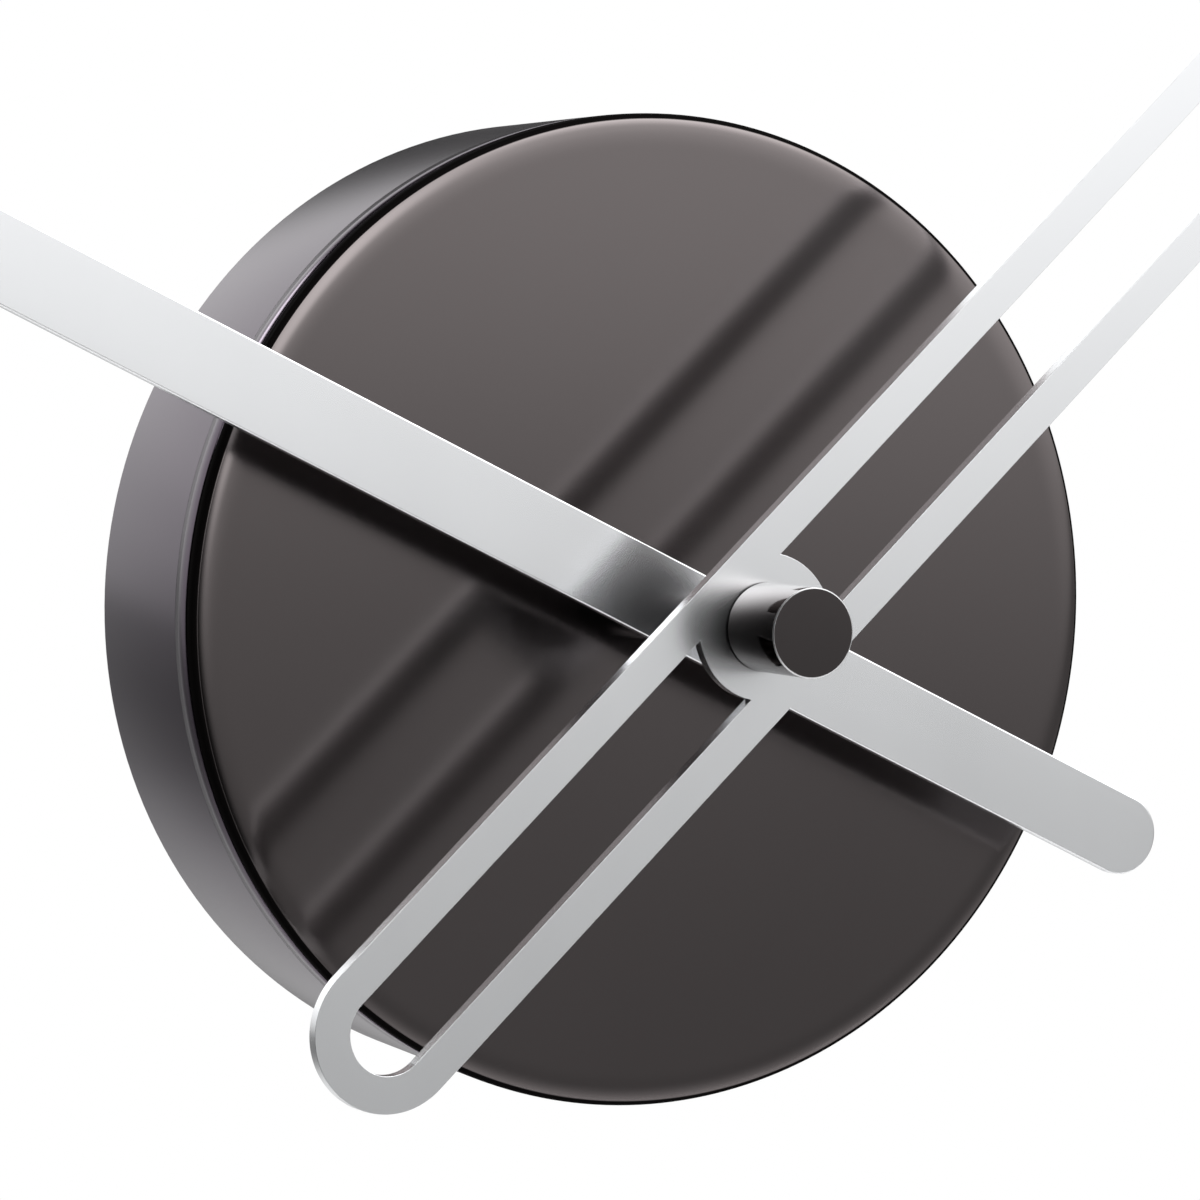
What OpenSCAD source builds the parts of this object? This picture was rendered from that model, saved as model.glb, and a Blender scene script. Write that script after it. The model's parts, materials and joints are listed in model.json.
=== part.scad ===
// Wall clock without a dial: a drum on the wall carries two long hands on one axis.
// X is to the right, Z is up and the front faces -Y. The origin is where the axis meets the wall.
// Pieces are drawn with x right, y up and z as their height out of the wall, then stood up.

/* [Case] */
// Diameter of the drum at its front lip
case_d = 150; // [140:1:180]
// Height of the front face out of the wall
face_h = 38.6; // [38.2:0.2:44]
// Wall thickness of the drum
case_wall = 1.6; // [1.2:0.1:2]
// How much smaller the drum's radius is at the back
case_draft = 1.1; // [0.6:0.1:1.6]
// Rounding of the drum's back edge
back_round = 1; // [0.4:0.1:1.1]
// Gap between the drum's back edge and the wall
back_gap = 0.3; // [0.2:0.1:0.8]
// Thickness of the web inside the drum that carries the movement
web_thick = 2; // [1.6:0.1:3]
// Width of the dark seam between the drum and the front disc
seam_w = 0.45; // [0.3:0.05:0.7]

/* [Front disc] */
// Thickness of the front disc
disc_thick = 1.5; // [1.2:0.1:2]
// Straight part of the disc's side
disc_side = 0.6; // [0.4:0.1:1]
// Height of the disc's rounded edge
edge_h = 1.2; // [0.8:0.1:1.4]
// Width of the disc's rounded edge
edge_w = 0.8; // [0.5:0.1:1]
// Width of the soft fall of the face towards its edge
fall_w = 3.8; // [2:0.2:6]
// Depth of the soft fall of the face
fall_h = 0.6; // [0.3:0.1:0.8]
// Thickness of the foam ring that holds the disc on the web
foam_thick = 3.1; // [2.9:0.1:3.6]
// Width of the foam ring
foam_w = 12; // [8:1:16]

/* [Wall plate] */
// Thickness of the wall plate
plate_thick = 2; // [1.5:0.1:3]
// Height of the plate's flange out of the wall
flange_h = 10; // [9:0.5:14]
// Wall thickness of the plate's flange
flange_wall = 1.5; // [1.2:0.1:2.5]
// Distance between the wall screws, across and up
screw_span = 70; // [60:1:84]
// Diameter of the holes for the wall screws
screw_hole_d = 4.8; // [4:0.1:5.5]
// Diameter of the grub screw that locks the drum on the plate
lock_d = 3; // [2.5:0.1:4]

/* [Hour hand] */
// Length of the hour hand from the axis to its tip
hour_reach = 270; // [200:1:320]
// Length of the hour hand's short end
hour_tail = 87.4; // [80:0.2:110]
// Width of the hour hand
hour_w = 12.2; // [11:0.1:16]
// Height of the hour hand's front face out of the wall
hour_h = 54.3; // [50:0.1:60]

/* [Minute hand] */
// Length of the minute hand from the axis to its tip
minute_reach = 370; // [300:1:420]
// Length of the minute hand's short end
minute_tail = 93.5; // [84:0.5:120]
// Width over both legs of the minute hand
minute_w = 23.1; // [21:0.1:28]
// Width of each leg of the minute hand
leg_w = 5.45; // [4.5:0.05:6.5]
// Diameter of the boss that joins the legs on the axis
boss_d = 21.6; // [19:0.1:24]
// Height of the minute hand's front face out of the wall
minute_h = 74.4; // [70:0.1:80]
// Thickness of both hands
hand_thick = 2; // [1.5:0.1:3]

/* [Cap] */
// Diameter of the cap on the end of the axis
cap_d = 13.1; // [11:0.1:16]
// Length of the cap
cap_len = 13.8; // [10:0.1:18]

/* [Rest time] */
// Hour that the hands show at rest
rest_hour = 10; // [0:1:11]
// Minutes past that hour
rest_minute = 9.3; // [0:0.1:59.9]

/* [Movement] */
// Diameter of the minute shaft
shaft_d = 3; // [2.6:0.1:3.2]
// Wall of the hour tube round the minute shaft
tube_wall = 0.95; // [0.7:0.05:1.2]
// Wall of the threaded bushing round the hour tube
bushing_wall = 1.45; // [1.2:0.05:2]
// Module of all the gears
gear_module = 0.5; // [0.48:0.01:0.55]
// Thickness of the wheels
wheel_thick = 1.2; // [1:0.1:1.4]
// Free height between one wheel level and the next
level_gap = 0.8; // [0.6:0.1:1]
// Wall thickness of the movement's housing
housing_wall = 1.8; // [1.5:0.1:2.2]
// Diameter of the AA cell
cell_d = 14.5; // [13.5:0.1:14.5]
// Length of the AA cell over its contacts
cell_len = 50.5; // [49:0.1:50.5]
// Diameter of the setting knob at the back
knob_d = 10; // [8:0.5:12]

/* [Hidden] */
$fn = 96;

// Clearances, and how far a cut runs past what it cuts
over = 1;
run_fit = 0.05;
press_gap = 0.02;
free_gap = 0.3;
small_gap = 0.1;

// Drum and front disc, from the face backwards
case_r = case_d / 2;
ring_h = face_h - fall_h;
side_top_h = ring_h - edge_h;
side_h = side_top_h - disc_side;
lip_h = side_h - seam_w;
disc_back_h = face_h - disc_thick;
web_h = disc_back_h - foam_thick;
lip_bevel = 0.15;
spigot_gap = 0.45;
spigot_wall = 1.5;
spigot_r = case_r - case_wall - spigot_gap;
foam_margin = 1.4;
foam_r = spigot_r - spigot_wall - foam_margin;
disc_hole_gap = 0.5;
arc_steps = 8;

// Wall plate
plate_fit = 0.2;
plate_r = case_r - case_draft - case_wall - plate_fit;
lock_boss_w = 8;
lock_boss_depth = 4;
lock_recess = 0.3;
lock_h = (plate_thick + flange_h) / 2;
lock_socket_d = lock_d / 2;

// Shafts and tubes round the axis
shaft_r = shaft_d / 2;
tube_bore_r = shaft_r + run_fit;
tube_r = tube_bore_r + tube_wall;
bushing_bore_r = tube_r + run_fit;
bushing_r = bushing_bore_r + bushing_wall;
rubber_thick = 1;
rubber_w = 4;
washer_thick = 0.7;
washer_w = 3;
nut_room = 0.4;
nut_thick = foam_thick - washer_thick - nut_room;
nut_wall = 1.5;

// Tooth counts of each pair, the driver first
rotor_teeth = 8;
intermediate_teeth = 40;
fourth_teeth = 48;
third_teeth = 60;
centre_teeth = 64;
pinion_teeth = 8;
cannon_teeth = 10;
minute_teeth = 30;
hour_teeth = 32;
setting_teeth = 10;

// Tooth form: shares are of the module
pressure = 20;
tip_share = 0.9;
root_share = 1.3;
tooth_thin = 0.1;

// Wheel levels counted back from the housing's front wall, and where each train axis stands
front_h = web_h - web_thick - rubber_thick;
front_in_h = front_h - housing_wall;
play = 0.4;
function level_top(k) = front_in_h - play - k * (wheel_thick + level_gap);
function level_low(k) = level_top(k) - wheel_thick;
hour_level = 0;
cannon_level = 1;
centre_level = 2;
third_level = 3;
fourth_level = 4;
intermediate_level = 5;
bridge_level = 6;
third_way = 150;
fourth_way = 35;
intermediate_way = -10;
rotor_way = -60;
minute_way = -45;
setting_way = 0;

function pitch_r(teeth) = teeth * gear_module / 2;
function tip_r(teeth) = pitch_r(teeth) + tip_share * gear_module;
function root_r(teeth) = pitch_r(teeth) - root_share * gear_module;
function beside(place, teeth_a, teeth_b, way) =
    place + (pitch_r(teeth_a) + pitch_r(teeth_b)) * [cos(way), sin(way)];

axis_at = [0, 0];
third_at = beside(axis_at, centre_teeth, pinion_teeth, third_way);
fourth_at = beside(third_at, third_teeth, pinion_teeth, fourth_way);
intermediate_at = beside(fourth_at, fourth_teeth, pinion_teeth, intermediate_way);
rotor_at = beside(intermediate_at, intermediate_teeth, rotor_teeth, rotor_way);
minute_at = beside(axis_at, cannon_teeth, minute_teeth, minute_way);
setting_at = beside(minute_at, minute_teeth, setting_teeth, setting_way);
centre_r = tip_r(centre_teeth);

// Arbors, their pivots and the bosses that hold them
arbor_r = 1;
pivot_r = 0.5;
pivot_len = 1;
end_play = 0.2;
pivot_boss_r = 1.6;
boss_drop = 0.6;
stud_r = 0.9;
stud_end = 0.3;
shaft_pivot_r = 0.8;
shoulder_wall = 1.1;
shoulder_thick = level_gap / 2;
setting_r = 1.2;
rotor_shaft_r = 0.6;
rotor_pivot_r = 0.3;
magnet_r = 3.5;

// Bridge plate behind the train, on four posts whose places are shares of the centre wheel's radius
post_r = 2;
post_screw_r = 0.9;
screw_head_r = 1.9;
screw_head_h = 1;
post_screw_len = 6;
bridge_margin = 0.5;
bridge_round = 2.4;
bridge_top_h = level_top(bridge_level);
bridge_low_h = level_low(bridge_level);
post_shares = [[-1.05, -0.75], [1.45, -0.6], [1.5, 1.35], [-0.85, 1.77]];
posts = [for (s = post_shares) s * centre_r];

// Circuit board behind the bridge, its edges as shares of the centre wheel's radius
board_thick = 1;
board_gap = 1;
board_low_shares = [-0.85, -1];
board_high_shares = [0.9, 1.6];
board_low = board_low_shares * centre_r;
board_high = board_high_shares * centre_r;
board_top_h = bridge_low_h - board_gap;
board_low_h = board_top_h - board_thick;
board_floor = 2.4;
peg_r = 1.5;
peg_pin_r = 0.6;
peg_inset = 2.5;
chip_w = 8;
chip_thick = 1.2;
crystal_r = 1;
crystal_len = 6;
part_inset = 5;
pegs = [for (x = [board_low[0] + peg_inset, board_high[0] - peg_inset],
             y = [board_low[1] + peg_inset, board_high[1] - peg_inset]) [x, y]];

// Housing in depth
rear_in_h = board_low_h - board_floor;
rear_h = rear_in_h - housing_wall;
split_h = level_low(third_level) + wheel_thick / 3;

// Cell and its pocket below the train
pocket_wall = 1.2;
cell_r = cell_d / 2;
nub_r = 2.7;
nub_len = 1.3;
spring_room = 3.5;
contact_room = 1.5;
wheel_clear = 0.6;
cell_y = -(centre_r + wheel_clear + pocket_wall + free_gap + cell_r);
pocket_high_y = cell_y + cell_r + free_gap;
pocket_low_y = cell_y - cell_r - free_gap;
cell_h = front_in_h - free_gap - pocket_wall - free_gap - cell_r;
pocket_floor_h = cell_h + cell_r + free_gap;
contact_w = 8;
contact_thick = 0.4;
contact_tall = 11;
dimple_r = 1.5;

// Coil and stator to the right of the rotor
magnet_low_h = level_top(intermediate_level) + boss_drop;
magnet_high_h = level_low(centre_level) - level_gap;
stator_thick = 1.2;
stator_low_h = (magnet_low_h + magnet_high_h - stator_thick) / 2;
stator_high_h = stator_low_h + stator_thick;
stator_gap = 0.7;
stator_w = 2;
arm_w = 3;
coil_span = 20;
coil_out = 12;
coil_x = rotor_at[0] + coil_out;
coil_low_y = rotor_at[1] - coil_span / 2;
coil_high_y = rotor_at[1] + coil_span / 2;
core_thick = 1;
core_end = 2;
core_h = stator_high_h + core_thick / 2;
coil_r = 3.2;
bobbin_r = 3.8;
bobbin_flange = 1;
bobbin_wall = 0.6;
bobbin_inset = 4;
bobbin_low_y = coil_low_y + bobbin_inset;
bobbin_high_y = coil_high_y - bobbin_inset;
coil_screw_r = 0.8;
coil_screw_head_r = 1.5;

// Housing in plan
plan_clear = 0.6;
corner_r = 4;
house_low = [third_at[0] - tip_r(third_teeth) - plan_clear - housing_wall,
             pocket_low_y - pocket_wall - free_gap - housing_wall];
house_high = [coil_x + bobbin_r + plan_clear + housing_wall,
              fourth_at[1] + tip_r(fourth_teeth) + plan_clear + housing_wall];
mid_x = (house_low[0] + house_high[0]) / 2;
pocket_low_x = mid_x - (cell_len + spring_room + contact_room) / 2;
pocket_high_x = mid_x + (cell_len + spring_room + contact_room) / 2;
cell_low_x = pocket_low_x + spring_room;
cell_high_x = cell_low_x + cell_len;
lug_r = 2.8;
lug_screw_r = 1;
lug_head_r = 2;
lug_head_h = 1.4;
lug_inset = housing_wall + 1;
lug_screw_len = 16;
lug_low_y = pocket_high_y + pocket_wall + free_gap + lug_r;
lugs = [for (x = [house_low[0] + lug_inset, house_high[0] - lug_inset],
             y = [lug_low_y, house_high[1] - lug_inset]) [x, y]];
pin_r = 1.5;
pin_shares = [[-0.6, -0.6], [0.6, 0.6]];
pins = [for (s = pin_shares) [s[0] * house_high[0], s[1] * house_high[1]]];

// Setting knob behind the housing
knob_thick = 3.2;
knob_gap = 0.4;
knob_grooves = 20;
groove_r = 0.4;
knob_high_h = rear_h - knob_gap;
knob_low_h = knob_high_h - knob_thick;

// Hands, hubs and cap
hub_lift = 0.4;
hour_sleeve_wall = 1.7;
minute_sleeve_wall = 2;
flange_thick = 1.5;
flange_inset = 0.3;
spigot_wall_hour = 0.7;
spigot_wall_minute = 1.5;
minute_flange_share = 0.74;
hour_low_h = hour_h - hand_thick;
minute_low_h = minute_h - hand_thick;
tube_end_h = hour_h - lock_recess;
hub_spigot_drop = 0.1;
hour_spigot_r = tube_r + spigot_wall_hour;
minute_spigot_r = shaft_r + spigot_wall_minute;
boss_r = boss_d / 2;
cap_r = cap_d / 2;
cap_washer_thick = 0.5;
cap_washer_inset = 0.7;
cap_bevel = 0.3;
cap_low_h = minute_h + cap_washer_thick;
cap_high_h = cap_low_h + cap_len;
thread_share = 0.6;
shaft_end_h = cap_low_h + thread_share * cap_len;

// Rest angles of the hands, clockwise from twelve
minute_turn = rest_minute * 6;
hour_turn = rest_hour * 30 + rest_minute / 2;

// Radius of the drum's outside at a height out of the wall
function drum_r(h) = case_r - case_draft * (lip_h - h) / (lip_h - back_gap);

// Points along part of an ellipse
function bow(centre, rx, ry, start, end) =
    [for (k = [0:arc_steps]) let (a = start + (end - start) * k / arc_steps)
        [centre[0] + rx * cos(a), centre[1] + ry * sin(a)]];

// Half the angle that a tooth takes at a radius, its flanks being involutes
function unroll(a) = tan(a) * 180 / PI - a;
function base_r(teeth) = pitch_r(teeth) * cos(pressure);
function half_tooth(teeth, r) =
    90 / teeth - tooth_thin * 90 / (PI * pitch_r(teeth)) + unroll(pressure)
    - unroll(acos(min(1, base_r(teeth) / max(r, base_r(teeth)))));

// Outline of a gear with one tooth centred on its own x
function gear_points(teeth) =
    let (radii = [root_r(teeth), pitch_r(teeth), tip_r(teeth)])
    [for (k = [0:teeth - 1], side = [-1, 1], j = [0:2])
        let (r = radii[side < 0 ? j : 2 - j], a = 360 * k / teeth + side * half_tooth(teeth, r))
        [r * cos(a), r * sin(a)]];

// Turn that a gear needs to mesh with another whose turn is known, lying in a direction from it
function mesh_turn(turn, teeth_a, teeth_b, way) =
    way + 180 - (180 + (turn - way) * teeth_a) / teeth_b;

third_turn = mesh_turn(0, centre_teeth, pinion_teeth, third_way);
fourth_turn = mesh_turn(0, third_teeth, pinion_teeth, fourth_way);
intermediate_turn = mesh_turn(0, fourth_teeth, pinion_teeth, intermediate_way);
rotor_turn = mesh_turn(0, intermediate_teeth, rotor_teeth, rotor_way);
minute_wheel_turn = mesh_turn(0, cannon_teeth, minute_teeth, minute_way);
hour_wheel_turn = mesh_turn(0, pinion_teeth, hour_teeth, minute_way + 180);
setting_turn = mesh_turn(minute_wheel_turn, minute_teeth, setting_teeth, setting_way);

// Stands a piece up so that its height runs out of the wall
module from_wall() {
    rotate([90, 0, 0]) children();
}

module at(place) {
    translate([place[0], place[1], 0]) children();
}

module rod(r, low, high) {
    translate([0, 0, low]) cylinder(r = r, h = high - low);
}

module tube(r, bore, low, high) {
    difference() {
        rod(r, low, high);
        rod(bore, low - over, high + over);
    }
}

// Block between two corners in plan and two heights, with rounded upright edges
module block(low, high, low_h, high_h, r) {
    translate([0, 0, low_h]) linear_extrude(high_h - low_h) union() {
        translate([low[0] + r, low[1]]) square([high[0] - low[0] - 2 * r, high[1] - low[1]]);
        translate([low[0], low[1] + r]) square([high[0] - low[0], high[1] - low[1] - 2 * r]);
        for (x = [low[0] + r, high[0] - r], y = [low[1] + r, high[1] - r])
            translate([x, y]) circle(r = r);
    }
}

module box(low, high, low_h, high_h) {
    translate([low[0], low[1], low_h]) cube([high[0] - low[0], high[1] - low[1], high_h - low_h]);
}

module gear(teeth, turn, level) {
    translate([0, 0, level_low(level)]) linear_extrude(wheel_thick)
        rotate(turn) polygon(gear_points(teeth));
}

// Bar with round ends, along y from -tail to reach
module long_outline(w, reach, tail) {
    translate([-w / 2, -tail + w / 2]) square([w, reach + tail - w]);
    for (y = [-tail + w / 2, reach - w / 2]) translate([0, y]) circle(r = w / 2);
}

// Screw with its head towards the wall
cross_share = 0.25;

module screw(r, head_r, head_h, low, len) {
    cross_w = head_r * cross_share;
    difference() {
        union() {
            rod(head_r, low, low + head_h);
            rod(r, low, low + head_h + len);
        }
        for (a = [0, 90]) rotate(a) translate([-head_r / 2, -cross_w / 2, low - over])
            cube([head_r, cross_w, over + head_h / 2]);
    }
}

// Steel plate that is screwed to the wall
module wall_plate() {
    flange_in_r = plate_r - flange_wall;
    color("lightslategray") from_wall() difference() {
        union() {
            rotate_extrude() polygon([[0, 0], [plate_r, 0], [plate_r, flange_h], [flange_in_r, flange_h],
                [flange_in_r, plate_thick], [0, plate_thick]]);
            box([-lock_boss_w / 2, -flange_in_r - flange_wall / 2],
                [lock_boss_w / 2, -flange_in_r + lock_boss_depth], plate_thick / 2, flange_h);
        }
        for (x = [-1, 1], y = [-1, 1]) at([x, y] * screw_span / 2)
            rod(screw_hole_d / 2, -over, plate_thick + over);
        translate([0, -plate_r - over, lock_h]) rotate([-90, 0, 0])
            cylinder(r = lock_d / 2 + press_gap, h = over + flange_wall + lock_boss_depth + over);
    }
}

// Spun case: side wall, lip and the web that carries the movement
module case_drum() {
    color("dimgray") from_wall() difference() {
        rotate_extrude() polygon(concat(
            [[drum_r(back_gap) - case_wall, back_gap]],
            bow([drum_r(back_gap) - back_round, back_gap + back_round], back_round, back_round, -90, 0),
            [[drum_r(lip_h - lip_bevel), lip_h - lip_bevel], [case_r - lip_bevel, lip_h],
             [case_r - case_wall, lip_h], [drum_r(web_h) - case_wall, web_h],
             [bushing_r + small_gap, web_h], [bushing_r + small_gap, web_h - web_thick],
             [drum_r(web_h - web_thick) - case_wall, web_h - web_thick]]));
        for (p = pins) at(p) rod(pin_r + small_gap, web_h - web_thick - over, web_h + over);
        translate([0, -case_r - over, lock_h]) rotate([-90, 0, 0])
            cylinder(r = lock_d / 2 + small_gap, h = over + case_draft + 2 * case_wall);
    }
}

// Grub screw at six o'clock
module lock_screw() {
    outer_end = -drum_r(lock_h) + lock_recess;
    color("silver") from_wall() translate([0, outer_end, lock_h]) rotate([-90, 0, 0]) difference() {
        cylinder(r = lock_d / 2, h = plate_fit + case_wall + flange_wall + lock_boss_depth / 2);
        translate([0, 0, -over]) cylinder(r = lock_socket_d / 2, h = over + lock_socket_d, $fn = 6);
    }
}

// Gunmetal disc in front: rounded edge, sharp ring, then a soft fall up to the flat face
module front_disc() {
    color("rosybrown") from_wall() rotate_extrude() polygon(concat(
        [[tube_r + disc_hole_gap, disc_back_h], [spigot_r - spigot_wall, disc_back_h],
         [spigot_r - spigot_wall, web_h + free_gap], [spigot_r, web_h + free_gap],
         [spigot_r, side_h], [case_r, side_h]],
        bow([case_r - edge_w, side_top_h], edge_w, edge_h, 0, 90),
        bow([case_r - edge_w - fall_w, ring_h], fall_w, fall_h, 0, 90),
        [[tube_r + disc_hole_gap, face_h]]));
}

// Adhesive foam between the web and the disc
module foam_ring() {
    color("dimgray") from_wall() tube(foam_r, foam_r - foam_w, web_h, disc_back_h);
}

// Blind hole that a front pivot runs in, through a boss that starts above a wheel's top
module bearing(r, wheel_top) {
    rod(r + run_fit, wheel_top, wheel_top + boss_drop + pivot_len);
}

// Front half of the movement's housing, with the bearings of the train
module front_housing() {
    wall_mid_h = front_in_h + housing_wall / 2;
    color("whitesmoke") from_wall() difference() {
        union() {
            difference() {
                block(house_low, house_high, split_h, front_h, corner_r);
                block(house_low + [housing_wall, housing_wall], house_high - [housing_wall, housing_wall],
                    split_h - over, front_in_h, corner_r - housing_wall);
            }
            for (p = lugs) at(p) rod(lug_r, split_h, wall_mid_h);
            for (p = posts) at(p) rod(post_r, bridge_top_h, wall_mid_h);
            for (y = [coil_low_y, coil_high_y]) at([coil_x, y])
                rod(post_r, stator_high_h + core_thick, wall_mid_h);
            for (p = pins) at(p) rod(pin_r, front_h - housing_wall / 2, web_h - small_gap);
            at(third_at) rod(pivot_boss_r, level_top(centre_level) + boss_drop, wall_mid_h);
            at(fourth_at) rod(pivot_boss_r, level_top(third_level) + boss_drop, wall_mid_h);
            at(intermediate_at) rod(pivot_boss_r, level_top(fourth_level) + boss_drop, wall_mid_h);
            at(rotor_at) rod(pivot_boss_r, magnet_high_h + boss_drop, wall_mid_h);
            at(setting_at) rod(pivot_boss_r, level_top(cannon_level) + boss_drop, wall_mid_h);
            at(minute_at) rod(stud_r, level_low(cannon_level) - stud_end, wall_mid_h);
        }
        rod(bushing_r + press_gap, front_in_h - over, front_h + over);
        for (p = lugs) at(p) rod(lug_screw_r + press_gap, split_h - over, front_in_h);
        for (p = posts) at(p)
            rod(post_screw_r + press_gap, bridge_top_h - over, bridge_top_h + post_screw_len);
        for (y = [coil_low_y, coil_high_y]) at([coil_x, y])
            rod(coil_screw_r + press_gap, stator_high_h + core_thick - over, front_in_h);
        at(third_at) bearing(pivot_r, level_top(centre_level));
        at(fourth_at) bearing(pivot_r, level_top(third_level));
        at(intermediate_at) bearing(pivot_r, level_top(fourth_level));
        at(rotor_at) bearing(rotor_pivot_r, magnet_high_h);
        at(setting_at) bearing(pivot_r, level_top(cannon_level));
    }
}

// Rear half of the housing, with the pocket for the cell
module rear_housing() {
    wall_mid_h = rear_in_h - housing_wall / 2;
    color("gainsboro") from_wall() difference() {
        union() {
            difference() {
                block(house_low, house_high, rear_h, split_h, corner_r);
                block(house_low + [housing_wall, housing_wall], house_high - [housing_wall, housing_wall],
                    rear_in_h, split_h + over, corner_r - housing_wall);
            }
            box([pocket_low_x - pocket_wall, pocket_low_y - pocket_wall],
                [pocket_high_x + pocket_wall, pocket_high_y + pocket_wall],
                wall_mid_h, pocket_floor_h + pocket_wall);
            for (p = lugs) at(p) rod(lug_r, wall_mid_h, split_h);
            for (p = pegs) at(p) rod(peg_r, wall_mid_h, board_low_h);
            for (p = pegs) at(p) rod(peg_pin_r, wall_mid_h, board_top_h + board_gap / 2);
        }
        box([pocket_low_x, pocket_low_y], [pocket_high_x, pocket_high_y], rear_h - over, pocket_floor_h);
        for (p = lugs) at(p) rod(lug_screw_r + small_gap, rear_h - over, split_h + over);
        for (p = lugs) at(p) rod(lug_head_r + small_gap, rear_h - over, rear_h + lug_head_h);
        at(setting_at) rod(setting_r + small_gap, rear_h - over, rear_in_h + over);
    }
}

module housing_screws() {
    color("silver") from_wall() for (p = lugs) at(p)
        screw(lug_screw_r, lug_head_r, lug_head_h, rear_h, lug_screw_len);
}

// Plate that holds the rear pivots of the train
module train_bridge() {
    xs = [for (p = posts) p[0]];
    ys = [for (p = posts) p[1]];
    reach = post_r + bridge_margin;
    color("ivory") from_wall() difference() {
        block([min(xs) - reach, min(ys) - reach], [max(xs) + reach, max(ys) + reach],
            bridge_low_h, bridge_top_h, bridge_round);
        for (p = posts) at(p) rod(post_screw_r + small_gap, bridge_low_h - over, bridge_top_h + over);
        for (p = [third_at, fourth_at, intermediate_at]) at(p)
            rod(pivot_r + run_fit, bridge_low_h - over, bridge_top_h + over);
        at(rotor_at) rod(rotor_pivot_r + run_fit, bridge_low_h - over, bridge_top_h + over);
        at(setting_at) rod(setting_r + small_gap, bridge_low_h - over, bridge_top_h + over);
        rod(shaft_pivot_r + run_fit, bridge_low_h - over, bridge_top_h + over);
    }
}

module bridge_screws() {
    color("silver") from_wall() for (p = posts) at(p)
        screw(post_screw_r, screw_head_r, screw_head_h, bridge_low_h - screw_head_h,
            wheel_thick + post_screw_len - end_play);
}

module circuit_board() {
    color("seagreen") from_wall() difference() {
        box(board_low, board_high, board_low_h, board_top_h);
        for (p = pegs) at(p) rod(peg_pin_r + small_gap, board_low_h - over, board_top_h + over);
    }
}

module driver_chip() {
    mid = (board_low + board_high) / 2;
    color("black") from_wall() box(mid - [chip_w, chip_w] / 2, mid + [chip_w, chip_w] / 2,
        board_low_h - chip_thick, board_low_h);
}

// Quartz crystal in its can, lying on the back of the board
module quartz_crystal() {
    corner = board_low + [part_inset, part_inset];
    color("lightgray") from_wall() translate([corner[0], corner[1], board_low_h - crystal_r])
        rotate([0, 90, 0]) cylinder(r = crystal_r, h = crystal_len);
}

// Opening of the bobbin round the flat core
module core_hole(grow) {
    translate([coil_x - arm_w / 2 - grow, bobbin_low_y - over, core_h - core_thick / 2 - grow])
        cube([arm_w + 2 * grow, bobbin_high_y - bobbin_low_y + 2 * over, core_thick + 2 * grow]);
}

module along_coil(r, low_y, high_y) {
    translate([coil_x, low_y, core_h]) rotate([-90, 0, 0]) cylinder(r = r, h = high_y - low_y);
}

module coil_bobbin() {
    color("khaki") from_wall() difference() {
        union() {
            along_coil(bobbin_r, bobbin_low_y, bobbin_low_y + bobbin_flange);
            along_coil(bobbin_r, bobbin_high_y - bobbin_flange, bobbin_high_y);
            box([coil_x - arm_w / 2 - bobbin_wall, bobbin_low_y],
                [coil_x + arm_w / 2 + bobbin_wall, bobbin_high_y],
                core_h - core_thick / 2 - bobbin_wall, core_h + core_thick / 2 + bobbin_wall);
        }
        core_hole(small_gap);
    }
}

// Fine copper wire, wound as one body of turns on the bobbin
module coil_winding() {
    color("peru") from_wall() difference() {
        along_coil(coil_r, bobbin_low_y + bobbin_flange, bobbin_high_y - bobbin_flange);
        core_hole(bobbin_wall);
    }
}

module coil_core() {
    color("gray") from_wall() difference() {
        box([coil_x - arm_w / 2, coil_low_y - core_end], [coil_x + arm_w / 2, coil_high_y + core_end],
            stator_high_h, stator_high_h + core_thick);
        for (y = [coil_low_y, coil_high_y]) at([coil_x, y])
            rod(coil_screw_r + small_gap, stator_high_h - over, stator_high_h + core_thick + over);
    }
}

// Soft iron stator: a ring round the magnet with an arm to each end of the coil's core
module stator() {
    ring_r = magnet_r + stator_gap + stator_w;
    web_len = coil_span / 2 - ring_r + stator_w;
    color("gray") from_wall() difference() {
        union() {
            at(rotor_at) rod(ring_r, stator_low_h, stator_high_h);
            for (side = [-1, 1]) at([rotor_at[0], rotor_at[1] + side * coil_span / 2]) {
                box([0, -arm_w / 2], [coil_out, arm_w / 2], stator_low_h, stator_high_h);
                rod(arm_w / 2, stator_low_h, stator_high_h);
                at([coil_out, 0]) rod(arm_w / 2, stator_low_h, stator_high_h);
            }
            for (side = [-1, 1]) at([rotor_at[0], rotor_at[1] + side * (coil_span - web_len) / 2])
                box([-arm_w / 2, -web_len / 2], [arm_w / 2, web_len / 2], stator_low_h, stator_high_h);
        }
        at(rotor_at) rod(magnet_r + stator_gap, stator_low_h - over, stator_high_h + over);
        for (y = [coil_low_y, coil_high_y]) at([coil_x, y])
            rod(coil_screw_r + small_gap, stator_low_h - over, stator_high_h + over);
    }
}

module coil_screws() {
    color("silver") from_wall() for (y = [coil_low_y, coil_high_y]) at([coil_x, y])
        screw(coil_screw_r, coil_screw_head_r, screw_head_h, stator_low_h - screw_head_h,
            stator_thick + core_thick + magnet_r);
}

// Arbor with a pivot at each end, from the bridge to a boss
module arbor(r, thin_r, high) {
    rod(r, bridge_top_h + end_play, high - end_play);
    rod(thin_r, bridge_top_h + end_play - pivot_len, high + pivot_len - end_play);
}

module rotor_pinion() {
    color("silver") from_wall() at(rotor_at) {
        gear(rotor_teeth, rotor_turn, intermediate_level);
        arbor(rotor_shaft_r, rotor_pivot_r, magnet_high_h + boss_drop);
    }
}

module rotor_magnet() {
    color("darkslategray") from_wall() at(rotor_at)
        tube(magnet_r, rotor_shaft_r + press_gap, magnet_low_h, magnet_high_h);
}

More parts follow.
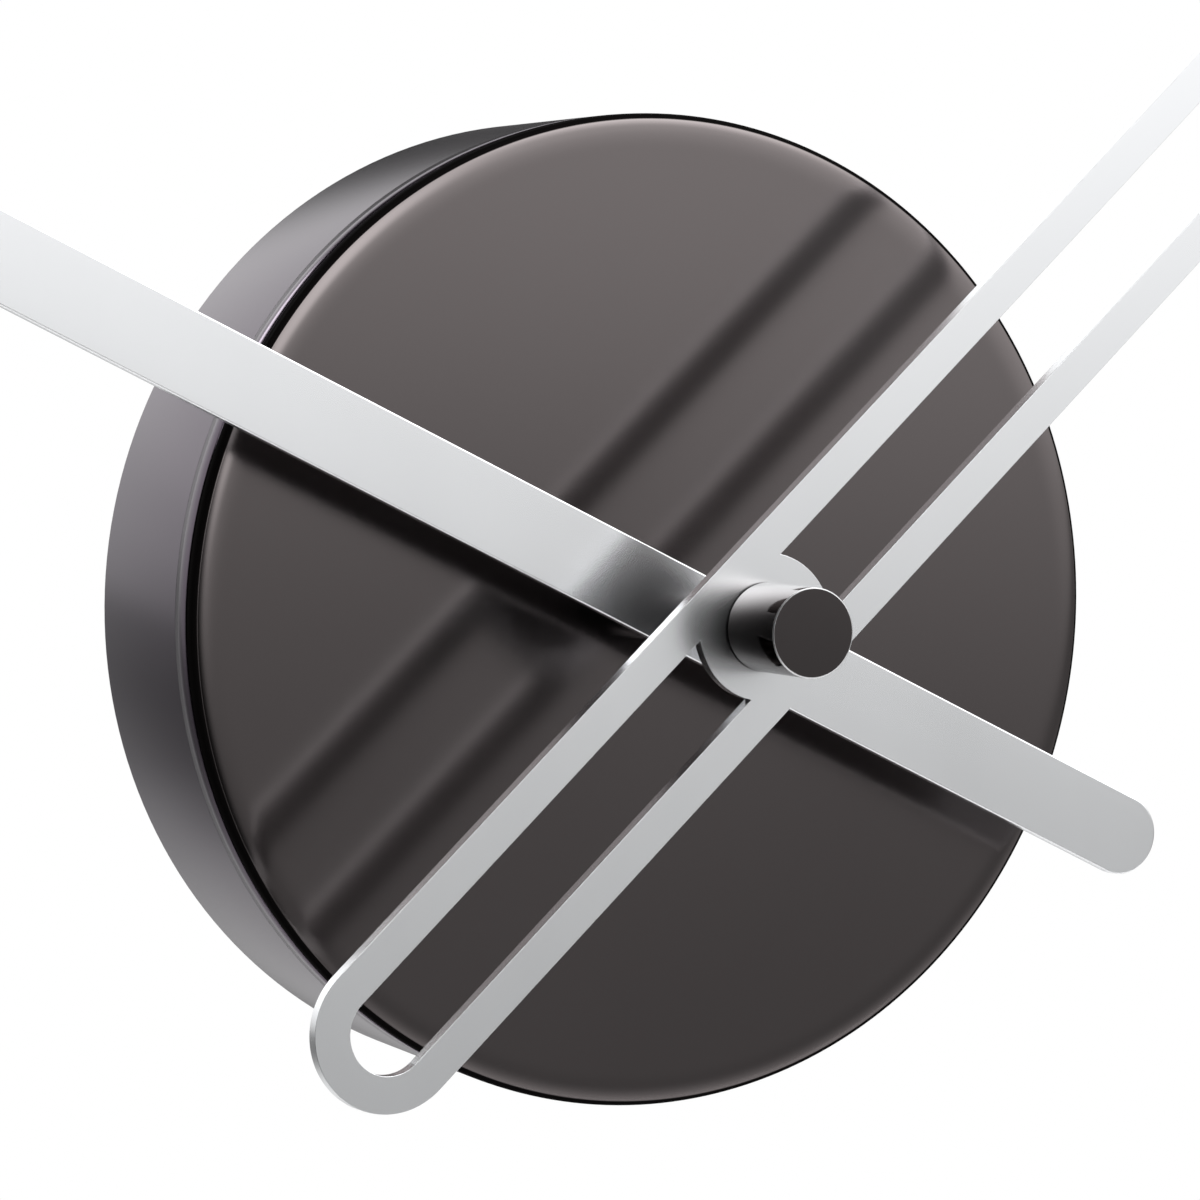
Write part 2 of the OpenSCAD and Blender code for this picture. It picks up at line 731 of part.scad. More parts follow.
// Wheel and pinion moulded on one arbor, with round windows in the wheel
windows = 5;
window_share = 0.58;
window_r_share = 0.2;

module train_wheel(place, teeth, level, turn, shade) {
    color(shade) from_wall() at(place) {
        difference() {
            gear(teeth, 0, level);
            for (k = [0:windows - 1]) rotate(k * 360 / windows) at([root_r(teeth) * window_share, 0])
                rod(root_r(teeth) * window_r_share, level_low(level) - over, level_top(level) + over);
        }
        gear(pinion_teeth, turn, level - 1);
        arbor(arbor_r, pivot_r, level_top(level - 1) + boss_drop);
    }
}

module intermediate_wheel() {
    train_wheel(intermediate_at, intermediate_teeth, intermediate_level, intermediate_turn, "white");
}

module fourth_wheel() {
    train_wheel(fourth_at, fourth_teeth, fourth_level, fourth_turn, "antiquewhite");
}

module third_wheel() {
    train_wheel(third_at, third_teeth, third_level, third_turn, "white");
}

// Wheel that drives the minute shaft through the clutch
centre_window_share = 0.62;
centre_window_r_share = 0.18;

module centre_wheel() {
    window_r = root_r(centre_teeth) * centre_window_r_share;
    color("antiquewhite") from_wall() difference() {
        gear(centre_teeth, 0, centre_level);
        rod(shaft_r + press_gap, level_low(centre_level) - over, level_top(centre_level) + over);
        for (k = [0:windows - 1]) rotate(k * 360 / windows)
            at([root_r(centre_teeth) * centre_window_share, 0])
                rod(window_r, level_low(centre_level) - over, level_top(centre_level) + over);
    }
}

// Friction spring between the centre wheel and the cannon pinion, which slips when the hands are set
clutch_arms = 3;
clutch_reach_share = 0.32;

module clutch_spring() {
    wheel_top = level_top(centre_level);
    pad_h = level_gap / 4;
    ring_r = shaft_r + shoulder_wall;
    arm_r = root_r(centre_teeth) * clutch_reach_share;
    color("gold") from_wall() difference() {
        union() {
            rod(ring_r, wheel_top + pad_h, level_low(cannon_level));
            for (k = [0:clutch_arms - 1]) rotate(k * 360 / clutch_arms) {
                box([0, -shoulder_wall / 2], [arm_r, shoulder_wall / 2],
                    wheel_top + pad_h, wheel_top + 2 * pad_h);
                at([arm_r, 0]) rod(shoulder_wall / 2, wheel_top, wheel_top + 2 * pad_h);
            }
        }
        rod(shaft_r + press_gap, wheel_top - over, level_low(cannon_level) + over);
    }
}

module minute_shaft() {
    shoulder_h = level_low(centre_level) - small_gap;
    color("silver") from_wall() {
        rod(shaft_r, bridge_top_h + end_play, shaft_end_h);
        rod(shaft_pivot_r, bridge_top_h + end_play - pivot_len, shaft_end_h);
        rod(shaft_r + shoulder_wall, shoulder_h - shoulder_thick, shoulder_h);
    }
}

module cannon_pinion() {
    color("gold") from_wall() difference() {
        gear(cannon_teeth, 0, cannon_level);
        rod(shaft_r + press_gap, level_low(cannon_level) - over, level_top(cannon_level) + over);
    }
}

// Reduction wheel between the cannon pinion and the hour wheel, turning on a stud
module minute_wheel() {
    color("white") from_wall() at(minute_at) difference() {
        union() {
            gear(minute_teeth, minute_wheel_turn, cannon_level);
            gear(pinion_teeth, 0, hour_level);
            rod(root_r(pinion_teeth), level_low(cannon_level), level_top(hour_level));
        }
        rod(stud_r + run_fit, level_low(cannon_level) - over, level_top(hour_level) + over);
    }
}

// Hour wheel and the tube that carries the hour hand
module hour_wheel() {
    color("gold") from_wall() difference() {
        union() {
            gear(hour_teeth, hour_wheel_turn, hour_level);
            rod(tube_r, level_low(hour_level), tube_end_h);
        }
        rod(tube_bore_r, level_low(hour_level) - over, tube_end_h + over);
    }
}

module setting_arbor() {
    high = level_top(cannon_level) + boss_drop;
    color("silver") from_wall() at(setting_at) {
        gear(setting_teeth, setting_turn, cannon_level);
        rod(setting_r, knob_low_h + end_play, high - end_play);
        rod(pivot_r, knob_low_h + end_play, high + pivot_len - end_play);
    }
}

module setting_knob() {
    color("black") from_wall() at(setting_at) difference() {
        rod(knob_d / 2, knob_low_h, knob_high_h);
        for (k = [0:knob_grooves - 1]) rotate(k * 360 / knob_grooves) at([knob_d / 2, 0])
            rod(groove_r, knob_low_h - over, knob_high_h + over);
        rod(setting_r + press_gap, knob_low_h + end_play, knob_high_h + over);
    }
}

module threaded_bushing() {
    color("gold") from_wall() tube(bushing_r, bushing_bore_r, front_in_h, disc_back_h - nut_room / 2);
}

module rubber_washer() {
    color("black") from_wall()
        tube(bushing_r + rubber_w, bushing_r + small_gap, front_h, web_h - web_thick);
}

module flat_washer() {
    color("gold") from_wall()
        tube(bushing_r + washer_w, bushing_r + small_gap, web_h, web_h + washer_thick);
}

module hex_nut() {
    nut_low_h = web_h + washer_thick;
    corner_to_middle = (bushing_r + nut_wall) / cos(30);
    color("gold") from_wall() difference() {
        translate([0, 0, nut_low_h]) cylinder(r = corner_to_middle, h = nut_thick, $fn = 6);
        rod(bushing_r + press_gap, nut_low_h - over, nut_low_h + nut_thick + over);
    }
}

module battery_cell() {
    color("orange") from_wall() translate([cell_low_x, cell_y, cell_h]) rotate([0, 90, 0]) {
        cylinder(r = cell_r, h = cell_len - nub_len);
        cylinder(r = nub_r, h = cell_len);
    }
}

// Flat contact with a dimple that meets the cell's nub
module positive_contact() {
    color("silver") from_wall() {
        box([pocket_high_x - contact_thick, cell_y - contact_w / 2],
            [pocket_high_x, cell_y + contact_w / 2], cell_h - contact_tall / 2, cell_h + contact_tall / 2);
        translate([cell_high_x + small_gap, cell_y, cell_h]) rotate([0, 90, 0])
            cylinder(r = dimple_r, h = pocket_high_x - contact_thick / 2 - cell_high_x - small_gap);
    }
}

// Spring contact at the cell's flat end: plate and a tapering wire coil in one piece
wire_r = 0.3;
spring_turns = 3;
spring_base_r = 4;
spring_tip_r = 2.4;
ring_sides = 6;
rings_per_turn = 8;
spring_foot = wire_r + press_gap;
spring_len = spring_room - spring_foot - wire_r - small_gap;
spring_rings = spring_turns * rings_per_turn;

function spring_point(k, a) =
    let (share = k / spring_rings, turn = 360 * k / rings_per_turn,
         r = spring_base_r + (spring_tip_r - spring_base_r) * share + wire_r * cos(a))
    [spring_foot + spring_len * share + wire_r * sin(a), r * cos(turn), r * sin(turn)];

module negative_contact() {
    points = [for (k = [0:spring_rings], s = [0:ring_sides - 1]) spring_point(k, 360 * s / ring_sides)];
    last = spring_rings * ring_sides;
    sides = [for (k = [0:spring_rings - 1], s = [0:ring_sides - 1], half = [0, 1])
        let (next = (s + 1) % ring_sides, a = k * ring_sides + s, b = k * ring_sides + next,
             c = b + ring_sides, d = a + ring_sides)
        half == 0 ? [a, b, c] : [a, c, d]];
    ends = concat([for (s = [1:ring_sides - 2]) [0, s + 1, s]],
        [for (s = [1:ring_sides - 2]) [last, last + s, last + s + 1]]);
    color("silver") from_wall() translate([pocket_low_x, cell_y, cell_h]) union() {
        translate([0, -contact_w / 2, -contact_tall / 2]) cube([contact_thick, contact_w, contact_tall]);
        polyhedron(points = points, faces = concat(sides, ends));
    }
}

// Sleeve, flange and spigot that carry a hand on its tube or shaft
module hub(bore, sleeve_r, flange_r, low, hand_low, spigot_r) {
    color("silver") from_wall() rotate_extrude() polygon([[bore, low], [sleeve_r, low],
        [sleeve_r, hand_low - flange_thick], [flange_r, hand_low - flange_thick], [flange_r, hand_low],
        [spigot_r, hand_low], [spigot_r, hand_low + hand_thick - hub_spigot_drop],
        [bore, hand_low + hand_thick - hub_spigot_drop]]);
}

module hour_hub() {
    hub(tube_r + press_gap, tube_r + hour_sleeve_wall, hour_w / 2 - flange_inset, face_h + hub_lift,
        hour_low_h, hour_spigot_r);
}

module hour_hand() {
    color("lightgray") from_wall() rotate(-hour_turn) translate([0, 0, hour_low_h])
        linear_extrude(hand_thick) difference() {
            long_outline(hour_w, hour_reach, hour_tail);
            circle(r = hour_spigot_r + press_gap);
        }
}

module minute_hub() {
    hub(shaft_r + press_gap, shaft_r + minute_sleeve_wall, boss_r * minute_flange_share,
        hour_h + hub_lift, minute_low_h, minute_spigot_r);
}

// Long loop whose legs join at the boss
module minute_hand() {
    color("lightgray") from_wall() rotate(-minute_turn) translate([0, 0, minute_low_h])
        linear_extrude(hand_thick) difference() {
            union() {
                difference() {
                    long_outline(minute_w, minute_reach, minute_tail);
                    long_outline(minute_w - 2 * leg_w, minute_reach - leg_w, minute_tail - leg_w);
                }
                circle(r = boss_r);
            }
            circle(r = minute_spigot_r + press_gap);
        }
}

module cap_washer() {
    color("black") from_wall() tube(cap_r - cap_washer_inset, shaft_r + press_gap, minute_h, cap_low_h);
}

module hand_cap() {
    color("dimgray") from_wall() difference() {
        rotate_extrude() polygon([[0, cap_low_h], [cap_r, cap_low_h], [cap_r, cap_high_h - cap_bevel],
            [cap_r - cap_bevel, cap_high_h], [0, cap_high_h]]);
        rod(shaft_r + press_gap, cap_low_h - over, shaft_end_h + small_gap);
    }
}

wall_plate();
case_drum();
lock_screw();
front_disc();
foam_ring();
front_housing();
rear_housing();
housing_screws();
train_bridge();
bridge_screws();
circuit_board();
driver_chip();
quartz_crystal();
coil_bobbin();
coil_winding();
coil_core();
stator();
coil_screws();
rotor_pinion();
rotor_magnet();
intermediate_wheel();
fourth_wheel();
third_wheel();
centre_wheel();
clutch_spring();
minute_shaft();
cannon_pinion();
minute_wheel();
hour_wheel();
setting_arbor();
setting_knob();
threaded_bushing();
rubber_washer();
flat_washer();
hex_nut();
battery_cell();
positive_contact();
negative_contact();
hour_hub();
hour_hand();
minute_hub();
minute_hand();
cap_washer();
hand_cap();
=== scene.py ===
import json
from math import cos, pi, radians, sin

import bpy
from mathutils import Matrix, Vector


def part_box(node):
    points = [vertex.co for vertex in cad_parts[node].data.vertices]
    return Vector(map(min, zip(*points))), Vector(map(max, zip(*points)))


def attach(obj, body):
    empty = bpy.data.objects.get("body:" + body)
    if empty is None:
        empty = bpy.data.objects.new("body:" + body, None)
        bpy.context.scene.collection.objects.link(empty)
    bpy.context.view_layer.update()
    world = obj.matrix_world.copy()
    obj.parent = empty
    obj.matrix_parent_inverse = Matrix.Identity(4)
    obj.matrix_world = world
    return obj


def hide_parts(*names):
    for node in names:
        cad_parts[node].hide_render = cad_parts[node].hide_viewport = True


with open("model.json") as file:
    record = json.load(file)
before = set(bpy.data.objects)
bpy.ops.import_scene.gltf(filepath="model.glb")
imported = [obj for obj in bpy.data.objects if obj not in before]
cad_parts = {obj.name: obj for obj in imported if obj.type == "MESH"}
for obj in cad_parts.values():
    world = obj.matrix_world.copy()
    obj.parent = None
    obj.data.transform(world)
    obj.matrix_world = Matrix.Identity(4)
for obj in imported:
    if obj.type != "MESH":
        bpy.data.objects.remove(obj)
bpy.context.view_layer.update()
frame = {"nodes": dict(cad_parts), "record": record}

scene = bpy.context.scene
scene.view_settings.view_transform = "Standard"


# The view
# The camera stands in front of the clock's left side, a little above the axis, and leans to the
# side by about 8 degrees, as a long lens about 0.9 m away would be held.
camera_at = Vector((-0.38222, -0.81170, 0.11706))
camera_looks = Vector((0.431324, 0.892607, -0.131199)).normalized()
camera_up = Vector((0.178148, 0.058294, 0.982275))
view_angle = radians(11.868)
view_starts = 0.01
view_ends = 100

camera_right = camera_looks.cross(camera_up).normalized()
camera_up = camera_right.cross(camera_looks)
camera_data = bpy.data.cameras.new("view_camera")
camera_data.sensor_fit = "HORIZONTAL"
camera_data.angle = view_angle
camera_data.clip_start = view_starts
camera_data.clip_end = view_ends
camera = bpy.data.objects.new("view_camera", camera_data)
scene.collection.objects.link(camera)
camera.matrix_world = Matrix.Translation(camera_at) @ Matrix(
    (camera_right, camera_up, -camera_looks)).transposed().to_4x4()
scene.camera = camera


# The studio
# A surround that is bright above eye level, dims in a band below it and is pale again underfoot. It is
# black overhead and at the far left, and two darker cards stand behind the clock. Soft patches of light
# brighten the metal, two large lamps help, and a small pale floor lies far below the clock.

# Height in the surround, from straight down to straight up, and its brightness there.
surround_steps = [
    (-1.0, 1.4), (-0.81, 1.4), (-0.70, 1.2), (-0.54, 0.80), (-0.42, 0.52), (-0.34, 0.36), (-0.27, 0.26),
    (-0.19, 0.26), (-0.085, 0.35), (-0.02, 0.72), (0.08, 0.90), (0.20, 1.20), (0.40, 1.25), (0.56, 1.2),
    (0.68, 0.5), (0.76, 0.03), (1.0, 0.02),
]
# The bands lie a little higher behind the clock than in front of it.
surround_rise = (0, -0.05, 1)
# Each light and card has its direction, the two cosines off it at which it begins and is full, and
# its value outside and inside. A light is added to the surround, and a card multiplies it.
soft_lights = [
    ((0.62, -0.66, 0.42), 0.795, 0.845, 0, 0.47),
    ((0.50, -0.50, 0.70), 0.81, 1.0, 0, 3.3),
    ((0.10, -0.965, 0.24), 0.955, 0.998, 0, 1.8),
    ((0.0, 0.90, -0.436), 0.90, 1.0, 0, 0.13),
    ((-0.33, 0.70, 0.63), 0.978, 0.997, 0, 6.0),
]
cards = [
    ((-0.85, -0.50, -0.10), 0.41, 0.68, 1, 0),
    ((-0.40, 0.89, -0.20), 0.95, 1.0, 1, 0.7),
    ((0.43, 0.88, 0.13), 0.94, 1.0, 1, 0.08),
]
# Each lamp has its name, place, width in metres and power in watts.
lamps = [
    ("soft_lamp_left", (-1.6, -1.5, 1.6), 1.6, 14.0),
    ("soft_lamp_right", (1.9, -1.3, 0.9), 1.4, 7.0),
]
floor_z = -0.47
floor_half = 0.5
floor_shade = 0.85
floor_glow = 0.75

world = bpy.data.worlds.new("surround")
world.use_nodes = True
scene.world = world
surround = world.node_tree
surround.nodes.clear()
out = surround.nodes.new("ShaderNodeOutputWorld")
white = surround.nodes.new("ShaderNodeBackground")
white.inputs["Color"].default_value = (1, 1, 1, 1)
white.inputs["Strength"].default_value = 1.0
dome = surround.nodes.new("ShaderNodeBackground")
dome.inputs["Color"].default_value = (1, 1, 1, 1)
way = surround.nodes.new("ShaderNodeTexCoord")
rise = surround.nodes.new("ShaderNodeVectorMath")
rise.operation = "DOT_PRODUCT"
rise.inputs[1].default_value = surround_rise
spread = surround.nodes.new("ShaderNodeMapRange")
spread.inputs["From Min"].default_value = -1
ramp = surround.nodes.new("ShaderNodeValToRGB")
ramp.color_ramp.interpolation = "EASE"
brightest = max(value for _, value in surround_steps)
for i, (height, value) in enumerate(surround_steps):
    along = (height + 1) / 2
    step = ramp.color_ramp.elements[i] if i < 2 else ramp.color_ramp.elements.new(along)
    step.position = along
    step.color = (value / brightest, value / brightest, value / brightest, 1)
strength = surround.nodes.new("ShaderNodeMath")
strength.operation = "MULTIPLY"
strength.inputs[1].default_value = brightest
surround.links.new(way.outputs["Generated"], rise.inputs[0])
surround.links.new(rise.outputs["Value"], spread.inputs["Value"])
surround.links.new(spread.outputs["Result"], ramp.inputs["Fac"])
surround.links.new(ramp.outputs["Color"], strength.inputs[0])


def patch(direction, edge, full, outside, inside):
    """A value that changes softly from outside to inside round one direction of the surround."""
    facing = surround.nodes.new("ShaderNodeVectorMath")
    facing.operation = "DOT_PRODUCT"
    facing.inputs[1].default_value = Vector(direction).normalized()
    soft = surround.nodes.new("ShaderNodeMapRange")
    soft.interpolation_type = "SMOOTHSTEP"
    soft.inputs["From Min"].default_value = edge
    soft.inputs["From Max"].default_value = full
    soft.inputs["To Min"].default_value = outside
    soft.inputs["To Max"].default_value = inside
    surround.links.new(way.outputs["Generated"], facing.inputs[0])
    surround.links.new(facing.outputs["Value"], soft.inputs["Value"])
    return soft.outputs["Result"]


lit = strength
for operation, patches in (("ADD", soft_lights), ("MULTIPLY", cards)):
    for values in patches:
        changed = surround.nodes.new("ShaderNodeMath")
        changed.operation = operation
        surround.links.new(lit.outputs[0], changed.inputs[0])
        surround.links.new(patch(*values), changed.inputs[1])
        lit = changed
surround.links.new(lit.outputs[0], dome.inputs["Strength"])

# What the camera sees directly, or would see through glass, is plain white. The rest sees the dome.
path = surround.nodes.new("ShaderNodeLightPath")
seen = surround.nodes.new("ShaderNodeMath")
seen.operation = "MAXIMUM"
mix = surround.nodes.new("ShaderNodeMixShader")
surround.links.new(path.outputs["Is Camera Ray"], seen.inputs[0])
surround.links.new(path.outputs["Is Transmission Ray"], seen.inputs[1])
surround.links.new(seen.outputs[0], mix.inputs["Fac"])
surround.links.new(dome.outputs[0], mix.inputs[1])
surround.links.new(white.outputs[0], mix.inputs[2])
surround.links.new(mix.outputs[0], out.inputs["Surface"])

for name, place, size, power in lamps:
    lamp_data = bpy.data.lights.new(name, "AREA")
    lamp_data.shape = "DISK"
    lamp_data.size = size
    lamp_data.energy = power
    lamp = bpy.data.objects.new(name, lamp_data)
    scene.collection.objects.link(lamp)
    lamp.location = place
    lamp.rotation_euler = (-Vector(place)).to_track_quat("-Z", "Y").to_euler()
    lamp.visible_glossy = False
    lamp.visible_camera = False


def deselect():
    """Leaves edit mode and selects nothing."""
    if bpy.context.object and bpy.context.object.mode != "OBJECT":
        bpy.ops.object.mode_set(mode="OBJECT")
    bpy.ops.object.select_all(action="DESELECT")


deselect()
bpy.ops.mesh.primitive_plane_add(size=2 * floor_half, location=(0, 0, floor_z))
floor = bpy.context.object
floor.name = "studio_floor"
floor_finish = bpy.data.materials.new("studio_floor")
floor_finish.use_nodes = True
tree = floor_finish.node_tree
tree.nodes.clear()
out = tree.nodes.new("ShaderNodeOutputMaterial")
matte = tree.nodes.new("ShaderNodeBsdfDiffuse")
matte.inputs["Color"].default_value = (floor_shade, floor_shade, floor_shade, 1)
glow = tree.nodes.new("ShaderNodeEmission")
path = tree.nodes.new("ShaderNodeLightPath")
share = tree.nodes.new("ShaderNodeMath")
share.operation = "MULTIPLY"
share.inputs[1].default_value = floor_glow
mix = tree.nodes.new("ShaderNodeMixShader")
tree.links.new(path.outputs["Is Camera Ray"], share.inputs[0])
tree.links.new(share.outputs[0], mix.inputs["Fac"])
tree.links.new(matte.outputs[0], mix.inputs[1])
tree.links.new(glow.outputs[0], mix.inputs[2])
tree.links.new(mix.outputs[0], out.inputs["Surface"])
floor.data.materials.append(floor_finish)


# Case drum
# The drum is spun from sheet and lacquered a satin anthracite with a hint of plum. Its wall leans in
# a little towards the back, a fine groove runs round it behind the lip, and a web near the front
# carries the movement.
MM = 0.001


def front_of(node):
    """How far the front of a CAD node lies off the wall, in millimetres."""
    return -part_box(node)[0].y / MM


def back_of(node):
    """How far the back of a CAD node lies off the wall, in millimetres."""
    return -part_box(node)[1].y / MM


def radius_of(node):
    """How far a round CAD node reaches from the clock's axis, in millimetres."""
    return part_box(node)[1].x / MM


def socket_group(name, inputs, outputs):
    """A shader node group with named inputs and outputs, and its two end nodes."""
    group = bpy.data.node_groups.new(name, "ShaderNodeTree")
    for label, kind, value in inputs:
        made = group.interface.new_socket(name=label, in_out="INPUT", socket_type=kind)
        if value is not None:
            made.default_value = value
    for label, kind in outputs:
        group.interface.new_socket(name=label, in_out="OUTPUT", socket_type=kind)
    return group, group.nodes.new("NodeGroupInput"), group.nodes.new("NodeGroupOutput")


# Fine cloudiness that every surface has: it shifts the colour a little, moves the roughness
# and gives a height for a very fine bump.
cloud, g_in, g_out = socket_group("fine_cloud", [
    ("Vector", "NodeSocketVector", None), ("Colour", "NodeSocketColor", (0.5, 0.5, 0.5, 1)),
    ("Grain per metre", "NodeSocketFloat", 4000.0), ("Cloud per metre", "NodeSocketFloat", 60.0),
    ("Roughness", "NodeSocketFloat", 0.4), ("Roughness swing", "NodeSocketFloat", 0.05),
    ("Colour swing", "NodeSocketFloat", 0.04)],
    [("Colour", "NodeSocketColor"), ("Roughness", "NodeSocketFloat"), ("Height", "NodeSocketFloat")])
grain = cloud.nodes.new("ShaderNodeTexNoise")
grain.inputs["Detail"].default_value = 2
blots = cloud.nodes.new("ShaderNodeTexNoise")
blots.inputs["Detail"].default_value = 3
centre = cloud.nodes.new("ShaderNodeMath")
centre.operation = "SUBTRACT"
centre.inputs[1].default_value = 0.5
swing = cloud.nodes.new("ShaderNodeMath")
swing.operation = "MULTIPLY_ADD"
shade = cloud.nodes.new("ShaderNodeMath")
shade.operation = "MULTIPLY_ADD"
shade.inputs[2].default_value = 1
tint = cloud.nodes.new("ShaderNodeVectorMath")
tint.operation = "SCALE"
cloud.links.new(g_in.outputs["Vector"], grain.inputs["Vector"])
cloud.links.new(g_in.outputs["Vector"], blots.inputs["Vector"])
cloud.links.new(g_in.outputs["Grain per metre"], grain.inputs["Scale"])
cloud.links.new(g_in.outputs["Cloud per metre"], blots.inputs["Scale"])
cloud.links.new(blots.outputs["Fac"], centre.inputs[0])
cloud.links.new(centre.outputs[0], swing.inputs[0])
cloud.links.new(g_in.outputs["Roughness swing"], swing.inputs[1])
cloud.links.new(g_in.outputs["Roughness"], swing.inputs[2])
cloud.links.new(centre.outputs[0], shade.inputs[0])
cloud.links.new(g_in.outputs["Colour swing"], shade.inputs[1])
cloud.links.new(g_in.outputs["Colour"], tint.inputs[0])
cloud.links.new(shade.outputs[0], tint.inputs["Scale"])
cloud.links.new(tint.outputs[0], g_out.inputs["Colour"])
cloud.links.new(swing.outputs[0], g_out.inputs["Roughness"])
cloud.links.new(grain.outputs["Fac"], g_out.inputs["Height"])

coat_roughness = 0.1


def finish_of(name, colour, metallic, roughness, roughness_swing=0.05, colour_swing=0.05,
              grain_per_metre=4000.0, cloud_per_metre=60.0, bump=0.05, bump_depth=0.00002,
              stretch=(1, 1, 1), turn=0.0, coat=0.0):
    """A material with fine cloudiness, roughness and bump worked out from the object's own coordinates."""
    made = bpy.data.materials.new(name)
    made.use_nodes = True
    tree = made.node_tree
    shader = tree.nodes["Principled BSDF"]
    shader.inputs["Metallic"].default_value = metallic
    shader.inputs["Coat Weight"].default_value = coat
    shader.inputs["Coat Roughness"].default_value = coat_roughness
    where = tree.nodes.new("ShaderNodeTexCoord")
    mapping = tree.nodes.new("ShaderNodeMapping")
    mapping.inputs["Rotation"].default_value = (0, turn, 0)
    mapping.inputs["Scale"].default_value = stretch
    effect = tree.nodes.new("ShaderNodeGroup")
    effect.node_tree = cloud
    effect.inputs["Colour"].default_value = (*colour, 1)
    effect.inputs["Grain per metre"].default_value = grain_per_metre
    effect.inputs["Cloud per metre"].default_value = cloud_per_metre
    effect.inputs["Roughness"].default_value = roughness
    effect.inputs["Roughness swing"].default_value = roughness_swing
    effect.inputs["Colour swing"].default_value = colour_swing
    relief = tree.nodes.new("ShaderNodeBump")
    relief.inputs["Strength"].default_value = bump
    relief.inputs["Distance"].default_value = bump_depth
    tree.links.new(where.outputs["Object"], mapping.inputs["Vector"])
    tree.links.new(mapping.outputs[0], effect.inputs["Vector"])
    tree.links.new(effect.outputs["Colour"], shader.inputs["Base Color"])
    tree.links.new(effect.outputs["Roughness"], shader.inputs["Roughness"])
    tree.links.new(effect.outputs["Height"], relief.inputs["Height"])
    tree.links.new(relief.outputs[0], shader.inputs["Normal"])
    return made


def bow(centre, wide, high, start, end, steps):
    """Points along part of an ellipse, from one angle in degrees to another, in millimetres."""
    angles = [radians(start + (end - start) * k / steps) for k in range(steps + 1)]
    return [(centre[0] + wide * cos(angle), centre[1] + high * sin(angle)) for angle in angles]


def turned(name, outline, segments=192, smooth=35):
    """A piece turned about the clock's axis: a ring drawn out through radii and heights in millimetres."""
    # No ring can be scaled up from a point, so points on the axis keep a hair's radius and are merged.
    hair = 0.003
    merge_below = 2.5 * hair
    outline = [(max(r, hair), h) for r, h in outline]
    deselect()
    r, h = outline[0]
    bpy.ops.mesh.primitive_circle_add(vertices=segments, radius=r * MM, location=(0, -h * MM, 0),
                                      rotation=(pi / 2, 0, 0))
    piece = bpy.context.object
    piece.name = name
    bpy.ops.object.transform_apply(location=True, rotation=True, scale=True)
    bpy.ops.object.mode_set(mode="EDIT")
    bpy.ops.mesh.select_all(action="SELECT")
    for (r0, h0), (r1, h1) in zip(outline, outline[1:]):
        bpy.ops.mesh.extrude_region_move(TRANSFORM_OT_translate={"value": (0, (h0 - h1) * MM, 0)})
        bpy.ops.transform.resize(value=(r1 / r0, 1, r1 / r0), center_override=(0, -h1 * MM, 0))
    bpy.ops.mesh.select_all(action="SELECT")
    bpy.ops.mesh.remove_doubles(threshold=merge_below * MM)
    bpy.ops.mesh.normals_make_consistent(inside=False)
    bpy.ops.object.mode_set(mode="OBJECT")
    bpy.ops.object.shade_smooth_by_angle(angle=radians(smooth))
    return piece


def dress(piece, finish, body, slot, *nodes):
    """Gives a new piece its material, the body it rides on and the CAD nodes it stands for."""
    piece.data.materials.clear()
    piece.data.materials.append(finish)
    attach(piece, body)
    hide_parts(*nodes)
    return piece


def take(piece):
    """Selects one piece alone and makes it the active one."""
    deselect()
    piece.select_set(True)
    bpy.context.view_layer.objects.active = piece


def carve(piece, cutter):
    """Cuts one piece with another by boolean difference, and deletes the cutter."""
    take(piece)
    cut = piece.modifiers.new("cut", "BOOLEAN")
    cut.operation = "DIFFERENCE"
    cut.solver = "EXACT"
    cut.object = cutter
    bpy.ops.object.modifier_apply(modifier=cut.name)
    bpy.data.objects.remove(cutter)


def drill(radius, low, high, place=(0, 0), segments=48):
    """A cutter for a hole along the clock's axis, between two heights in millimetres."""
    deselect()
    bpy.ops.mesh.primitive_cylinder_add(
        vertices=segments, radius=radius * MM, depth=(high - low) * MM,
        location=(place[0] * MM, -(low + high) / 2 * MM, place[1] * MM), rotation=(pi / 2, 0, 0))
    return bpy.context.object


case_r = radius_of("front_disc")
lip_h = front_of("case_drum")
back_h = back_of("case_drum")
wall_thick = 1.6
wall_lean = 1.1
wall_lean_degrees = 2
web_front_h = back_of("flat_washer")
web_thick = 2.0
web_back_h = web_front_h - web_thick
back_round = 1.0
back_steps = 8
lip_round = 0.15
groove_drop = 4.4
groove_h = lip_h - groove_drop
groove = 0.025
bushing_hole_r = 4.1
pin_hole_r, pin_x, pin_z = 1.6, 21.8, 20.2
lock_hole_r, lock_hole_h = 1.6, 6.0
lock_drill_len = 50
lock_drill_sides = 48
drill_over = 1


def drum_r(h):
    """Radius of the drum's leaning wall at a height, in millimetres."""
    return case_r - wall_lean * (lip_h - h) / (lip_h - back_h)


drum_paint = finish_of("drum_lacquer", (0.112, 0.094, 0.116), 0.95, 0.18, roughness_swing=0.04,
                       grain_per_metre=2500, cloud_per_metre=25, bump=0.04)
drum = turned("case_drum_shell", [
    (drum_r(back_h) - wall_thick, back_h),
    *bow((drum_r(back_h) - back_round, back_h + back_round), back_round, back_round,
         -90, -wall_lean_degrees, back_steps),
    (drum_r(groove_h), groove_h - 2 * groove), (drum_r(groove_h), groove_h - groove),
    (drum_r(groove_h) - groove, groove_h), (drum_r(groove_h), groove_h + groove),
    (drum_r(lip_h - lip_round), lip_h - lip_round), (case_r - lip_round, lip_h),
    (case_r - wall_thick, lip_h), (drum_r(web_front_h) - wall_thick, web_front_h),
    (bushing_hole_r, web_front_h), (bushing_hole_r, web_back_h),
    (drum_r(web_back_h) - wall_thick, web_back_h), (drum_r(back_h) - wall_thick, back_h)], smooth=50)
